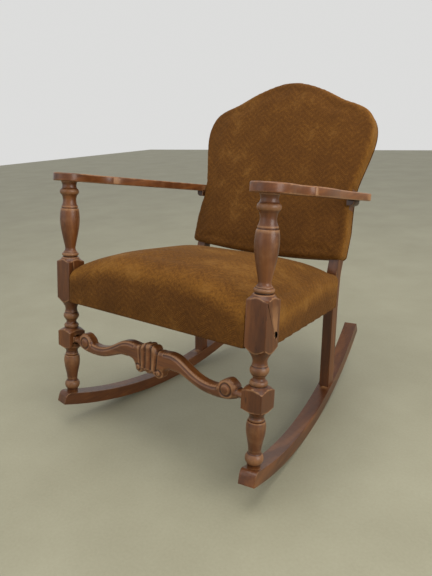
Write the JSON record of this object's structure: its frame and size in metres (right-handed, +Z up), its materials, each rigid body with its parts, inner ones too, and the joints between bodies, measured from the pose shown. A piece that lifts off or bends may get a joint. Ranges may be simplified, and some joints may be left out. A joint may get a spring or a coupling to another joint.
{
  "type": "upholstered rocking chair",
  "caption": "Upholstered open-arm rocking chair with turned front posts, carved stretcher, sprung seat, arched padded back and curved runners.",
  "frame": {"origin": "on the floor, midway between the points where the two rockers touch it when the chair stands at rest", "axes": "+X to the right as seen from in front of the chair, +Y towards the back of the chair, +Z up"},
  "size_m": [0.634, 0.7347, 0.8202],
  "materials": {
    "show_wood": "satin varnish on red-brown stained wood",
    "frame_wood": "unfinished sawn hardwood",
    "mohair": "worn golden-brown pile fabric with a faint chevron figure",
    "stuffing": "cotton felt over horsehair",
    "burlap": "plain jute sacking",
    "webbing": "jute webbing",
    "cambric": "thin black cotton",
    "dark_plug": "dark wax-filled plug",
    "spring_steel": "drawn spring wire",
    "screw_steel": "plain steel wood screw"
  },
  "bodies": {
    "frame": {"arm_bracket_left": "show_wood", "arm_bracket_right": "show_wood", "arm_left": "show_wood", "arm_right": "show_wood", "arm_screws": "screw_steel", "back_bottom_rail": "frame_wood", "back_burlap": "burlap", "back_cover": "mohair", "back_crest_rail": "frame_wood", "back_dowels": "frame_wood", "back_panel": "mohair", "back_stuffing": "stuffing", "back_webbing": "webbing", "block_screws": "screw_steel", "corner_block_front_left": "frame_wood", "corner_block_front_right": "frame_wood", "corner_block_rear_left": "frame_wood", "corner_block_rear_right": "frame_wood", "front_post_left": "show_wood", "front_post_right": "show_wood", "front_stretcher": "show_wood", "post_plugs": "dark_plug", "post_screws": "screw_steel", "rail_dowels": "frame_wood", "rear_post_left": "show_wood", "rear_post_right": "show_wood", "rocker_dowels": "frame_wood", "rocker_left": "show_wood", "rocker_right": "show_wood", "seat_cover_border": "mohair", "seat_dust_cover": "cambric", "seat_edge_roll": "stuffing", "seat_rail_front": "frame_wood", "seat_rail_left": "frame_wood", "seat_rail_rear": "frame_wood", "seat_rail_right": "frame_wood", "seat_springs_front": "spring_steel", "seat_springs_middle": "spring_steel", "seat_springs_rear": "spring_steel", "seat_webbing": "webbing"},
    "seat_deck": {"seat_cover_top": "mohair", "seat_stuffing": "stuffing", "seat_burlap": "burlap"}
  },
  "joints": [
    {"name": "seat_press", "type": "slide", "parent": "frame", "child": "seat_deck", "axis": [0, -0.1357, -0.9907], "range_m": [0, 0.022], "stiffness_N_per_m": 14000, "springref_m": -0.03, "deforming": ["seat_springs_front", "seat_springs_middle", "seat_springs_rear"]}
  ]
}
